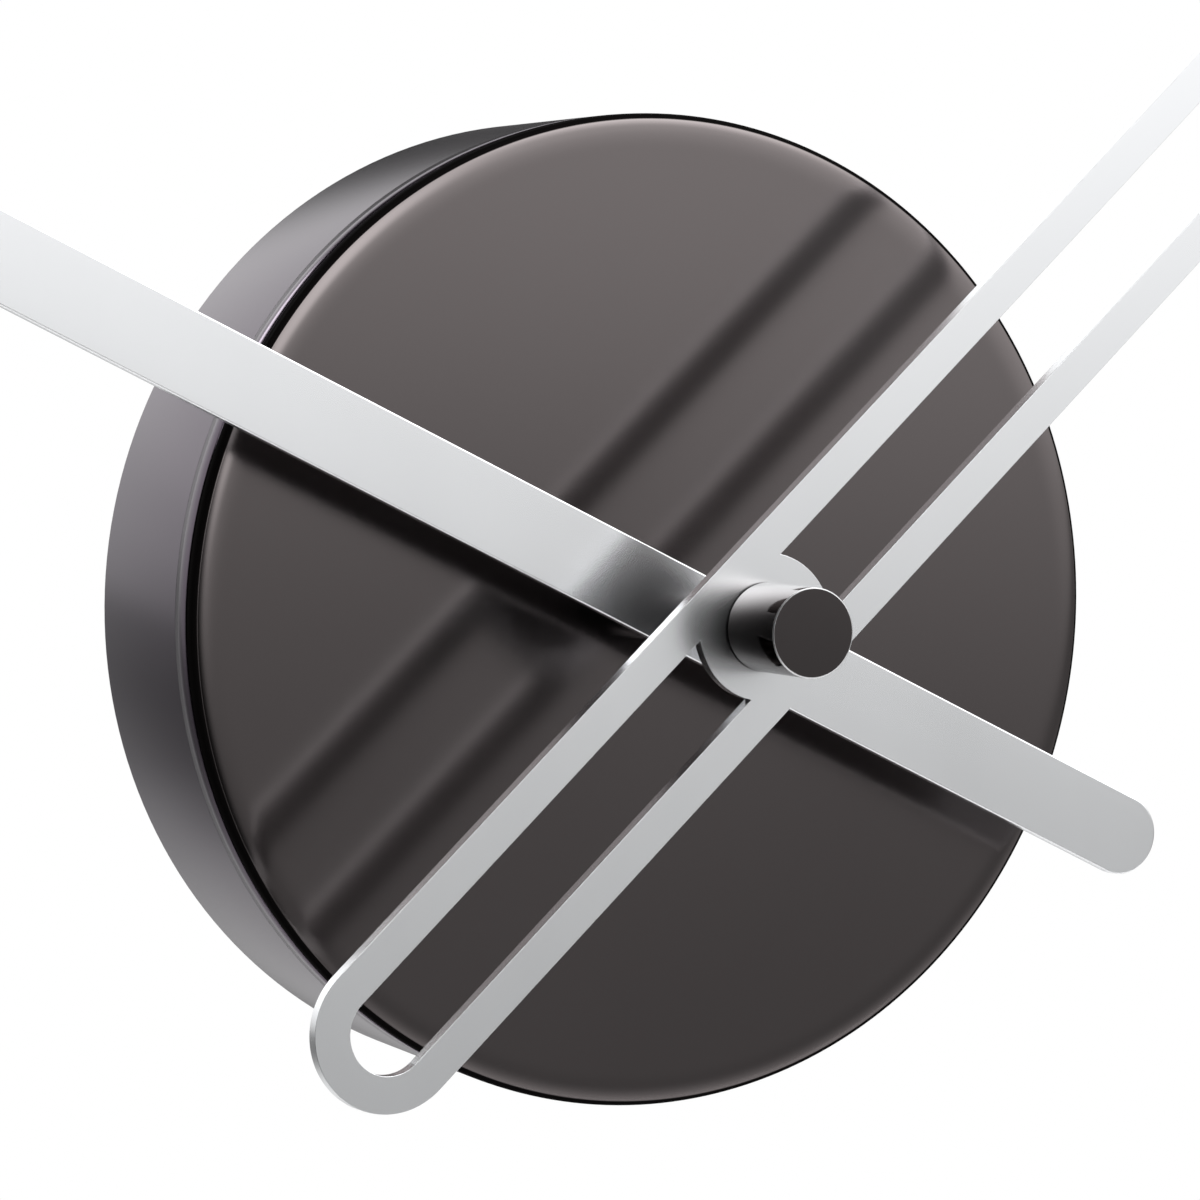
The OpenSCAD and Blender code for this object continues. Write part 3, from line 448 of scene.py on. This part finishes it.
for side in (-1, 1):
    carve(drum, drill(pin_hole_r, web_back_h - drill_over, web_front_h + drill_over,
                      (side * pin_x, side * pin_z)))
deselect()
bpy.ops.mesh.primitive_cylinder_add(
    vertices=lock_drill_sides, radius=lock_hole_r * MM, depth=lock_drill_len * MM,
    location=(0, -lock_hole_h * MM, -case_r * MM))
carve(drum, bpy.context.object)
dress(drum, drum_paint, "case", "case_paint", "case_drum")


# Front disc
# A thin polished gunmetal disc is stuck in front of the drum by a ring of foam and centred by a spigot.
# Its edge is rounded up to a fine ring and is painted near-black beyond it, as painted shade, and inside
# the ring the face rises to its flat middle.
face_h = front_of("front_disc")
disc_back_h = front_of("foam_ring")
spigot_end_h = back_of("front_disc")
spigot_gap = 0.45
spigot_r = case_r - wall_thick - spigot_gap
spigot_wall = 1.5
seam = 0.45
side_h = lip_h + seam
side_tall = 0.6
side_top_h = side_h + side_tall
fall_w, fall_h, fall_power, fall_steps = 5.0, 0.40, 4, 40
edge_w, edge_h, edge_steps = 0.8, face_h - fall_h - side_top_h, 16
ring_r = case_r - edge_w
disc_hole_r = 3.0
# Extra rings on the flat face, inside the fall and round the hole, keep its shading flat.
fall_ring = 6
hole_ring = 2


# Where a point lies on a turned piece: its distance from the clock's axis and its height off the wall.
place_group, g_in, g_out = socket_group("turned_place", [("Vector", "NodeSocketVector", None)],
                                        [("Radius", "NodeSocketFloat"), ("Height", "NodeSocketFloat")])
flat = place_group.nodes.new("ShaderNodeVectorMath")
flat.operation = "MULTIPLY"
flat.inputs[1].default_value = (1, 0, 1)
reach = place_group.nodes.new("ShaderNodeVectorMath")
reach.operation = "LENGTH"
depth = place_group.nodes.new("ShaderNodeVectorMath")
depth.operation = "DOT_PRODUCT"
depth.inputs[1].default_value = (0, -1, 0)
place_group.links.new(g_in.outputs["Vector"], flat.inputs[0])
place_group.links.new(flat.outputs[0], reach.inputs[0])
place_group.links.new(g_in.outputs["Vector"], depth.inputs[0])
place_group.links.new(reach.outputs["Value"], g_out.inputs["Radius"])
place_group.links.new(depth.outputs["Value"], g_out.inputs["Height"])


def place_on(tree):
    """The place group, set into a finish and fed with the piece's own coordinates."""
    place = tree.nodes.new("ShaderNodeGroup")
    place.node_tree = place_group
    tree.links.new(tree.nodes["Texture Coordinate"].outputs["Object"], place.inputs["Vector"])
    return place


def ramp_of(tree, source, low, high, at_low, at_high):
    """A value that goes straight from one number to another while the source passes two lengths in mm."""
    made = tree.nodes.new("ShaderNodeMapRange")
    made.inputs["From Min"].default_value = low * MM
    made.inputs["From Max"].default_value = high * MM
    made.inputs["To Min"].default_value = at_low
    made.inputs["To Max"].default_value = at_high
    tree.links.new(source, made.inputs["Value"])
    return made.outputs["Result"]


disc_metal = finish_of("gunmetal", (0.150, 0.134, 0.134), 1.0, 0.15, roughness_swing=0.02,
                       grain_per_metre=3000, cloud_per_metre=18, bump=0.02)
# Beyond the ring the edge is darkened near-black, without metal or gloss: painted shade.
painted_shade_level = 0.03
painted_shade_gloss = 0
painted_shade_blur = 0.05
tree = disc_metal.node_tree
place = place_on(tree)
painted_shade_mask = ramp_of(tree, place.outputs["Radius"], ring_r - painted_shade_blur, ring_r + painted_shade_blur, 1, painted_shade_level)
darker = tree.nodes.new("ShaderNodeVectorMath")
darker.operation = "SCALE"
shader = tree.nodes["Principled BSDF"]
tree.links.new(shader.inputs["Base Color"].links[0].from_socket, darker.inputs[0])
tree.links.new(painted_shade_mask, darker.inputs["Scale"])
tree.links.new(darker.outputs[0], shader.inputs["Base Color"])
tree.links.new(painted_shade_mask, shader.inputs["Metallic"])
shader.inputs["Specular IOR Level"].default_value = painted_shade_gloss
disc = turned("front_disc_gunmetal", [
    (disc_hole_r, disc_back_h), (spigot_r - spigot_wall, disc_back_h),
    (spigot_r - spigot_wall, spigot_end_h), (spigot_r, spigot_end_h), (spigot_r, side_h), (case_r, side_h),
    *bow((ring_r, side_top_h), edge_w, edge_h, 0, 90, edge_steps),
    *[(ring_r - fall_w * (1 - k / fall_steps), face_h - fall_h * (k / fall_steps) ** fall_power)
      for k in range(fall_steps - 1, -1, -1)],
    (ring_r - fall_w - fall_ring, face_h), (disc_hole_r + hole_ring, face_h),
    (disc_hole_r, face_h), (disc_hole_r, disc_back_h)], segments=256)
dress(disc, disc_metal, "case", "disc_gunmetal", "front_disc")


# Hour hand
# A plain bar cut from 2 mm aluminium with round ends, its rim finely rounded off and its faces
# finished satin.
rest_minute = 9.3
rest_hour = 10
# Degrees that a minute moves the minute hand, and an hour the hour hand.
minute_step, hour_step = 6, 30
minute_turn = radians(rest_minute * minute_step)
hour_turn = radians(rest_hour * hour_step + rest_minute * hour_step / 60)
hand_rim = 0.28


def satin(name, turn):
    """Satin aluminium, with a fine grain that is drawn out along the hand."""
    return finish_of(name, (0.86, 0.87, 0.885), 1.0, 0.25, roughness_swing=0.04, colour_swing=0.03,
                     grain_per_metre=2600, cloud_per_metre=40, bump=0.015, stretch=(1, 1, 0.12), turn=turn)


def bar(name, width, reach, tail, low, high):
    """A flat bar with round ends along Z, between two heights in millimetres."""
    steps = 96
    deselect()
    bpy.ops.mesh.primitive_circle_add(vertices=steps, radius=width / 2 * MM, fill_type="NGON",
                                      location=(0, -low * MM, 0), rotation=(pi / 2, pi / steps, 0))
    piece = bpy.context.object
    piece.name = name
    bpy.ops.object.transform_apply(location=True, rotation=True, scale=True)
    for side, length in ((1, reach), (-1, tail)):
        for point in piece.data.vertices:
            point.select = point.co.z * side > 0
        for edge in piece.data.edges:
            edge.select = False
        for face in piece.data.polygons:
            face.select = False
        bpy.ops.object.mode_set(mode="EDIT")
        bpy.ops.mesh.select_mode(type="VERT")
        bpy.ops.transform.translate(value=(0, 0, side * (length - width / 2) * MM))
        bpy.ops.object.mode_set(mode="OBJECT")
    bpy.ops.object.mode_set(mode="EDIT")
    bpy.ops.mesh.select_all(action="SELECT")
    bpy.ops.mesh.extrude_region_move(TRANSFORM_OT_translate={"value": (0, (low - high) * MM, 0)})
    # Cut across at the axis, so that no face has to wrap round the hole that is drilled there.
    bpy.ops.mesh.select_all(action="SELECT")
    bpy.ops.mesh.bisect(plane_co=(0, 0, 0), plane_no=(0, 0, 1))
    bpy.ops.mesh.select_all(action="SELECT")
    bpy.ops.mesh.normals_make_consistent(inside=False)
    bpy.ops.object.mode_set(mode="OBJECT")
    return piece


def soften(piece, width, angle=35, segments=4):
    """Rounds the sharp edges by a width in millimetres and shades the rest smooth."""
    take(piece)
    rim = piece.modifiers.new("rim", "BEVEL")
    rim.width = width * MM
    rim.segments = segments
    rim.limit_method = "ANGLE"
    rim.angle_limit = radians(angle)
    bpy.ops.object.modifier_apply(modifier=rim.name)
    bpy.ops.object.shade_smooth_by_angle(angle=radians(angle))
    flat = piece.modifiers.new("flat", "WEIGHTED_NORMAL")
    flat.keep_sharp = True
    flat.weight = 100
    bpy.ops.object.modifier_apply(modifier=flat.name)


def set_turn(piece, angle):
    """Turns a piece clockwise about the clock's axis, seen from the front."""
    take(piece)
    piece.rotation_euler = (0, angle, 0)
    bpy.ops.object.transform_apply(location=True, rotation=True, scale=True)


hour_h = front_of("hour_hand")
hand_thick = hour_h - back_of("hour_hand")
hour_w, hour_reach, hour_tail = 12.2, 270.0, 87.4
hour_spigot_r = 3.2
press_gap = 0.02

hour_satin = satin("hand_satin_hour", hour_turn)
hour_bar = bar("hour_hand_bar", hour_w, hour_reach, hour_tail, hour_h - hand_thick, hour_h)
carve(hour_bar, drill(hour_spigot_r + press_gap, hour_h - 2 * hand_thick, hour_h + hand_thick))
soften(hour_bar, hand_rim)
set_turn(hour_bar, hour_turn)
dress(hour_bar, hour_satin, "hour_assembly", "hand_metal", "hour_hand")


# Minute hand
# A long loop of the same sheet: two legs that meet in round ends, and a round boss between them on
# the axis.
minute_h = front_of("minute_hand")
minute_w, leg_w = 23.1, 5.45
minute_reach, minute_tail = 370.0, 93.5
boss_r = 10.8
boss_sides = 128
minute_spigot_r = 3.0

minute_satin = satin("hand_satin_minute", minute_turn)
loop = bar("minute_hand_loop", minute_w, minute_reach, minute_tail, minute_h - hand_thick, minute_h)
slot_cutter = bar("slot_cutter", minute_w - 2 * leg_w, minute_reach - leg_w, minute_tail - leg_w,
                  minute_h - 2 * hand_thick, minute_h + hand_thick)
carve(slot_cutter, drill(boss_r, minute_h - 3 * hand_thick, minute_h + 2 * hand_thick,
                         segments=boss_sides))
carve(loop, slot_cutter)
carve(loop, drill(minute_spigot_r + press_gap, minute_h - 2 * hand_thick, minute_h + hand_thick))
soften(loop, hand_rim)
set_turn(loop, minute_turn)
dress(loop, minute_satin, "minute_assembly", "hand_metal", "minute_hand")


# Cap
# A turned cap with a dark chrome finish is pressed on the end of the minute shaft. Its front rim has a
# fine chamfer painted pale and made rougher, a painted highlight, and a thin dark washer lies under it.
cap_r = radius_of("hand_cap")
cap_low_h = back_of("hand_cap")
cap_high_h = front_of("hand_cap")
cap_rim = 0.16
back_rim = 0.12
back_rim_steps = 3
shaft_r = 1.5
bore_r = shaft_r + press_gap
bore_end_gap = 0.1
bore_end_h = front_of("minute_shaft") + bore_end_gap
# The chamfer's pale colour is a painted highlight. The chamfer is also made rougher.
painted_highlight_rim = (0.72, 0.72, 0.73)
rim_rougher = 0.35
washer_r = radius_of("cap_washer")
join_below = 0.005

cap_chrome = finish_of("dark_chrome", (0.105, 0.094, 0.094), 1.0, 0.07, roughness_swing=0.02,
                       grain_per_metre=3000, cloud_per_metre=90, bump=0.01)
# On the chamfer, radius and height add up to one value, and everywhere else on the cap to less.
chamfer_sum = cap_r + cap_high_h - cap_rim
painted_highlight_margin, painted_highlight_blur = 0.02, 0.03
painted_highlight_full = chamfer_sum - painted_highlight_margin
painted_highlight_from = painted_highlight_full - painted_highlight_blur
tree = cap_chrome.node_tree
shader = tree.nodes["Principled BSDF"]
place = place_on(tree)
corner = tree.nodes.new("ShaderNodeMath")
corner.operation = "ADD"
tree.links.new(place.outputs["Radius"], corner.inputs[0])
tree.links.new(place.outputs["Height"], corner.inputs[1])
painted_highlight_mask = ramp_of(tree, corner.outputs[0], painted_highlight_from, painted_highlight_full, 0, 1)
blend = tree.nodes.new("ShaderNodeMix")
blend.data_type = "RGBA"
blend.inputs["B"].default_value = (*painted_highlight_rim, 1)
tree.links.new(shader.inputs["Base Color"].links[0].from_socket, blend.inputs["A"])
tree.links.new(painted_highlight_mask, blend.inputs["Factor"])
tree.links.new(blend.outputs["Result"], shader.inputs["Base Color"])
rougher = tree.nodes.new("ShaderNodeMath")
rougher.operation = "MULTIPLY_ADD"
rougher.inputs[1].default_value = rim_rougher
tree.links.new(painted_highlight_mask, rougher.inputs[0])
tree.links.new(shader.inputs["Roughness"].links[0].from_socket, rougher.inputs[2])
tree.links.new(rougher.outputs[0], shader.inputs["Roughness"])
cap = turned("hand_cap_turned", [
    (bore_r, cap_low_h), (cap_r - back_rim, cap_low_h),
    *bow((cap_r - back_rim, cap_low_h + back_rim), back_rim, back_rim, -90, 0, back_rim_steps)[1:],
    (cap_r, cap_high_h - cap_rim), (cap_r - cap_rim, cap_high_h), (0, cap_high_h)], segments=128, smooth=30)
cap_bore = turned("hand_cap_bore", [(bore_r, cap_low_h), (bore_r, bore_end_h), (0, bore_end_h)],
                  segments=128)
take(cap)
cap_bore.select_set(True)
bpy.ops.object.join()
bpy.ops.object.mode_set(mode="EDIT")
bpy.ops.mesh.select_all(action="SELECT")
bpy.ops.mesh.remove_doubles(threshold=join_below * MM)
bpy.ops.mesh.normals_make_consistent(inside=False)
bpy.ops.object.mode_set(mode="OBJECT")
dress(cap, cap_chrome, "minute_assembly", "cap_dark", "hand_cap")

washer_black = finish_of("black_washer", (0.02, 0.02, 0.02), 0.0, 0.55)
washer = turned("cap_washer_ring", [
    (bore_r, minute_h), (washer_r, minute_h), (washer_r, cap_low_h), (bore_r, cap_low_h),
    (bore_r, minute_h)], segments=96)
dress(washer, washer_black, "minute_assembly", "seam_black", "cap_washer")


# Hubs
# Each hand sits on an aluminium hub turned in one piece: a sleeve on the tube or shaft, a flange
# behind the hand and a short spigot through it.
tube_r = 2.5
hour_sleeve_wall, minute_sleeve_wall = 1.7, 2.0
hub_edge = 0.2
flange_thick = 1.5
# The hubs' metal is coloured dark: painted shade for their place between the disc and the hands.
hub_metal = finish_of("hub_turned", (0.13, 0.125, 0.13), 1.0, 0.25, roughness_swing=0.05,
                      grain_per_metre=5000, cloud_per_metre=80, stretch=(0.2, 1, 0.2), bump=0.05)


def hub(name, node, inner_r, sleeve_wall, spigot_r, hand_low):
    """A hub as long and wide as its CAD node, with its flange against the back of the hand."""
    low, top, flange_r = back_of(node), front_of(node), radius_of(node)
    bore, sleeve_r = inner_r + press_gap, inner_r + sleeve_wall
    flange_low = hand_low - flange_thick
    return turned(name, [
        (bore, low), (sleeve_r - hub_edge, low), (sleeve_r, low + hub_edge), (sleeve_r, flange_low),
        (flange_r - hub_edge, flange_low), (flange_r, flange_low + hub_edge), (flange_r, hand_low),
        (spigot_r, hand_low), (spigot_r, top), (bore, top), (bore, low)], segments=96)


hour_hub = hub("hour_hub_turned", "hour_hub", tube_r, hour_sleeve_wall, hour_spigot_r,
               hour_h - hand_thick)
dress(hour_hub, hub_metal, "hour_assembly", "hub_metal", "hour_hub")
minute_hub = hub("minute_hub_turned", "minute_hub", shaft_r, minute_sleeve_wall, minute_spigot_r,
                 minute_h - hand_thick)
dress(minute_hub, hub_metal, "minute_assembly", "hub_metal", "minute_hub")


# Pieces kept as the construction has them
# Wall plate, foam, housing, train, shafts, fasteners and the cell stay as they are and get the finish
# of their own material: painted steel, moulded plastic, turned brass, rubber and lacquered board.
finishes = {
    "plate_steel": finish_of("plate_paint", (0.40, 0.41, 0.43), 0.3, 0.45, grain_per_metre=1500, bump=0.1),
    "screw_steel": finish_of("zinc_plate", (0.62, 0.62, 0.60), 1.0, 0.32, cloud_per_metre=400, bump=0.05),
    "arbor_steel": finish_of("ground_steel", (0.60, 0.60, 0.62), 1.0, 0.22, cloud_per_metre=300,
                             stretch=(1, 0.1, 1), bump=0.05),
    "housing_white": finish_of("housing_moulded", (0.80, 0.80, 0.78), 0.0, 0.50, grain_per_metre=3500,
                               bump=0.25, bump_depth=0.00003),
    "bridge_ivory": finish_of("bridge_moulded", (0.76, 0.72, 0.60), 0.0, 0.48, bump=0.15),
    "gear_white": finish_of("acetal_white", (0.86, 0.86, 0.84), 0.0, 0.34, cloud_per_metre=200, bump=0.08),
    "gear_cream": finish_of("acetal_cream", (0.80, 0.73, 0.58), 0.0, 0.34, cloud_per_metre=200, bump=0.08),
    "knob_black": finish_of("knob_moulded", (0.03, 0.03, 0.033), 0.0, 0.42, bump=0.2),
    "brass": finish_of("turned_brass", (0.78, 0.58, 0.26), 1.0, 0.26, cloud_per_metre=250, bump=0.06),
    "rubber_black": finish_of("black_rubber", (0.03, 0.03, 0.03), 0.0, 0.75, bump=0.3),
    "foam_black": finish_of("black_foam", (0.05, 0.05, 0.05), 0.0, 0.95, grain_per_metre=1800,
                            bump=0.8, bump_depth=0.0002),
    "board_green": finish_of("solder_resist", (0.03, 0.20, 0.09), 0.0, 0.28, coat=0.5, bump=0.1),
    "chip_black": finish_of("cast_resin", (0.02, 0.02, 0.02), 0.0, 0.35, bump=0.2),
    "can_metal": finish_of("drawn_can", (0.72, 0.72, 0.73), 1.0, 0.20, cloud_per_metre=300),
    "copper_wire": finish_of("enamelled_copper", (0.62, 0.26, 0.12), 0.9, 0.28,
                             grain_per_metre=9000, stretch=(1, 1, 0.02), bump=0.6, bump_depth=0.00005),
    "soft_iron": finish_of("nickel_iron", (0.45, 0.45, 0.45), 1.0, 0.35, cloud_per_metre=250, bump=0.1),
    "magnet_grey": finish_of("ferrite", (0.09, 0.09, 0.10), 0.2, 0.50, bump=0.2),
    "cell_sleeve": finish_of("cell_sleeve", (0.10, 0.11, 0.13), 0.0, 0.25, coat=0.6),
    "contact_metal": finish_of("spring_nickel", (0.74, 0.72, 0.66), 1.0, 0.25, cloud_per_metre=300),
}
slots = {row["node"]: row["material_slot"] for row in frame["record"]["subparts"]}
for node, piece in frame["nodes"].items():
    if not piece.hide_render:
        piece.data.materials.clear()
        piece.data.materials.append(finishes[slots[node]])
